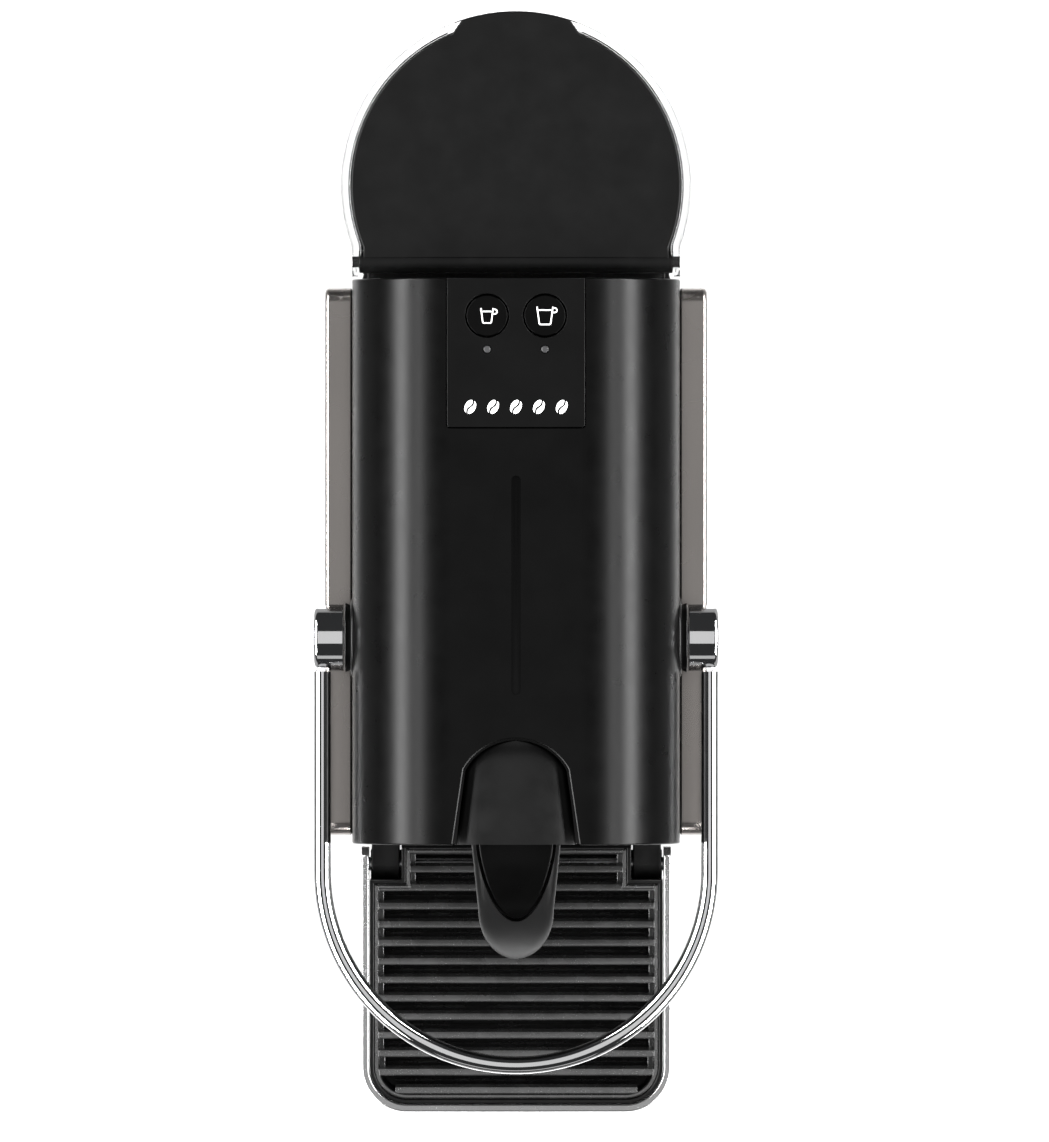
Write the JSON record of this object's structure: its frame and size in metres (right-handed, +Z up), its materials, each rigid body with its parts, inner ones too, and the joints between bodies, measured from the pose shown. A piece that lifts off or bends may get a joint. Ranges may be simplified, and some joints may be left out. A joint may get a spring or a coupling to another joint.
{
  "type": "pod coffee machine",
  "caption": "Narrow single-serve coffee machine with a vaulted black cover, metal side panels, a U-shaped chrome lever, a clear D-shaped rear water tank and a folding cup tray.",
  "frame": {"origin": "centre of the footprint, on the surface that the feet stand on", "axes": "+Z up, -Y towards the user (cup tray and lever front), +Y towards the water tank, +X to the user's right"},
  "size_m": [0.1174, 0.3236, 0.235],
  "materials": {
    "satin_black_plastic": "satin black moulded plastic with a very fine grain",
    "black_plastic": "plain black moulded plastic",
    "gloss_black_plastic": "polished black plastic",
    "titanium_panel": "satin warm grey metallic panel",
    "chrome": "polished chrome plate",
    "silver_band": "satin silver metal band",
    "steel": "plain steel",
    "clear_plastic": "clear moulded water tank",
    "rubber": "soft black rubber",
    "silicone_hose": "milky silicone hose",
    "circuit_board": "green circuit board with its parts",
    "cast_alloy": "cast light alloy",
    "lamp_lens": "small grey lamp lens, unlit"
  },
  "bodies": {
    "body": {"base_pan": "black_plastic", "base_screw_1": "steel", "base_screw_2": "steel", "base_screw_3": "steel", "base_screw_4": "steel", "front_left_foot": "rubber", "front_right_foot": "rubber", "rear_left_foot": "rubber", "rear_right_foot": "rubber", "left_wall": "black_plastic", "right_wall": "black_plastic", "left_side_panel": "titanium_panel", "right_side_panel": "titanium_panel", "rear_bulkhead": "black_plastic", "bay_wall": "black_plastic", "brew_deck": "black_plastic", "top_cover": "satin_black_plastic", "front_fascia": "satin_black_plastic", "keypad_plate": "gloss_black_plastic", "espresso_lamp": "lamp_lens", "lungo_lamp": "lamp_lens", "keypad_board": "circuit_board", "left_pivot_bush": "black_plastic", "right_pivot_bush": "black_plastic", "left_frame_plate": "steel", "right_frame_plate": "steel", "extraction_plate": "black_plastic", "coffee_spout": "black_plastic", "spout_tongue": "satin_black_plastic", "water_pump": "cast_alloy", "pump_mount": "rubber", "heater_block": "cast_alloy", "flow_meter": "black_plastic", "suction_hose": "silicone_hose", "pressure_hose": "silicone_hose", "power_board": "circuit_board", "tank_base": "black_plastic", "tank_coupling": "rubber", "tank_feed_hose": "silicone_hose", "cord_gland": "rubber"},
    "espresso_button": {"espresso_key": "gloss_black_plastic"},
    "lungo_button": {"lungo_key": "gloss_black_plastic"},
    "lever": {"lever_handle": "chrome", "left_lever_hub": "chrome", "right_lever_hub": "chrome", "left_crankshaft": "steel", "right_crankshaft": "steel"},
    "cage": {"pod_cage": "cast_alloy", "slot_shutter": "satin_black_plastic", "brew_hose": "silicone_hose"},
    "module": {"module_front": "satin_black_plastic", "drip_base": "black_plastic", "pod_bin": "black_plastic"},
    "tray": {"cup_tray": "black_plastic", "tray_band": "silver_band", "tray_hinge_pin": "steel", "drip_grid": "gloss_black_plastic"},
    "tank": {"water_tank": "clear_plastic", "tank_valve": "black_plastic"},
    "lid": {"tank_lid": "satin_black_plastic"}
  },
  "joints": [
    {"name": "lever_lift", "type": "hinge", "parent": "body", "child": "lever", "pos_m": [0, -0.0193, 0.201], "axis": [-1, 0, 0], "range_deg": [0, 95]},
    {"name": "cage_slide", "type": "slide", "parent": "body", "child": "cage", "axis": [0, 1, 0], "range_m": [0, 0.031]},
    {"name": "espresso_press", "type": "slide", "parent": "body", "child": "espresso_button", "axis": [0, 0, -1], "range_m": [0, 0.001], "stiffness_N_per_m": 400, "springref_m": -0.0002},
    {"name": "lungo_press", "type": "slide", "parent": "body", "child": "lungo_button", "axis": [0, 0, -1], "range_m": [0, 0.001], "stiffness_N_per_m": 400, "springref_m": -0.0002},
    {"name": "tank_lift", "type": "slide", "parent": "body", "child": "tank", "axis": [0, 0, 1], "range_m": [0, 0.06]},
    {"name": "tank_lid_open", "type": "hinge", "parent": "tank", "child": "lid", "pos_m": [0, 0.0893, 0.2212], "axis": [1, 0, 0], "range_deg": [0, 90]},
    {"name": "module_slide", "type": "slide", "parent": "body", "child": "module", "axis": [0, -1, 0], "range_m": [0, 0.07]},
    {"name": "tray_fold", "type": "hinge", "parent": "module", "child": "tray", "pos_m": [0, -0.0877, 0.035], "axis": [-1, 0, 0], "range_deg": [0, 88]}
  ],
  "couplings": [
    {"joint": "cage_slide", "follows": "lever_lift", "m_per_rad": 0.01868}
  ]
}
